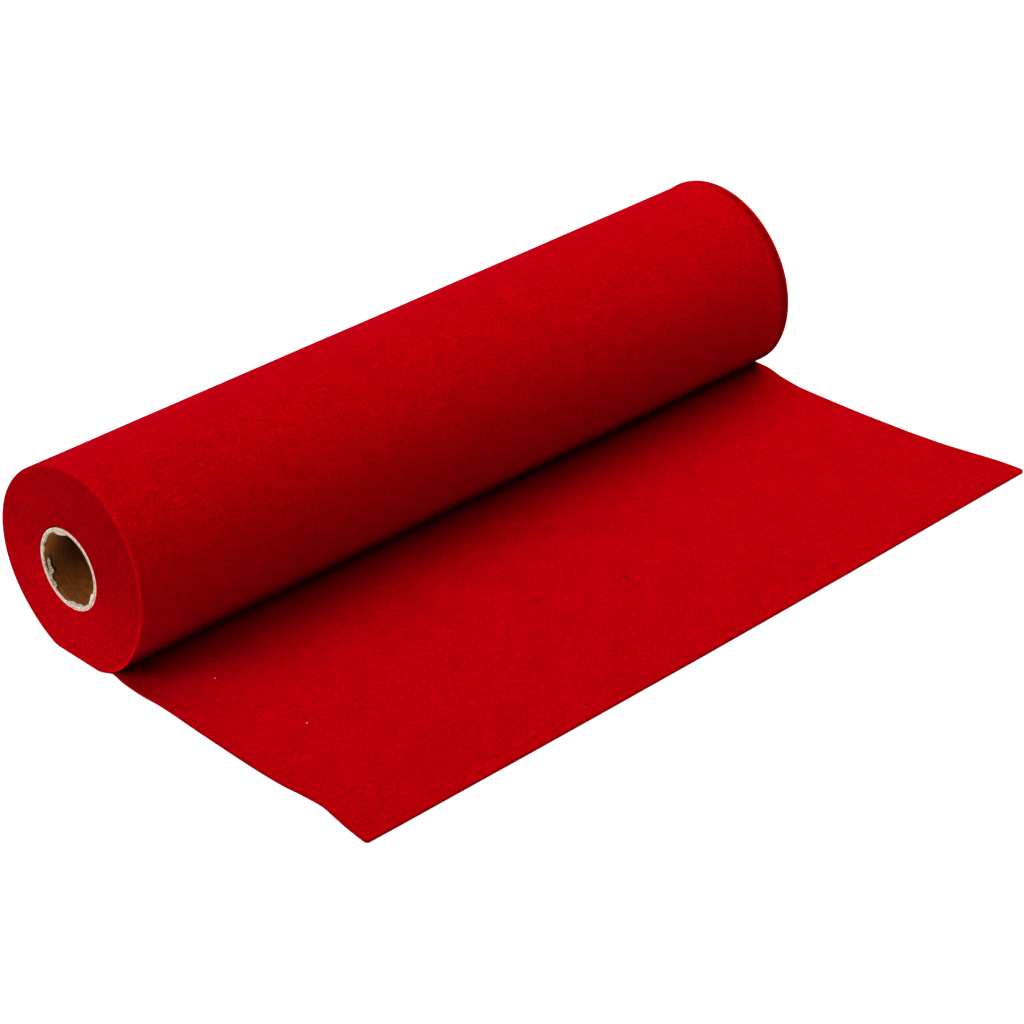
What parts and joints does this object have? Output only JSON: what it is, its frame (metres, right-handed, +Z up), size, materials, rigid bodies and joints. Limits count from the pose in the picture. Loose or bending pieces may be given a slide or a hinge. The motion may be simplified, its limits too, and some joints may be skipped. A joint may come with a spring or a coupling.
{
  "type": "roll of felt",
  "caption": "Wide roll of red craft felt wound on an open cardboard tube, lying on its side with its loose end laid out flat in front.",
  "frame": {"origin": "on the floor in the roll's flat spot, straight below the roll's axis at the middle of its width", "axes": "+X along the roll from its near end to its far end, +Z up, and the loose end runs out towards -Y"},
  "size_m": [0.4648, 0.2603, 0.1039],
  "materials": {
    "felt": "matt fuzzy red felt",
    "core": "matt brown kraft board with a pale paper edge"
  },
  "bodies": {
    "root": {"felt": "felt", "core": "core"}
  },
  "joints": []
}
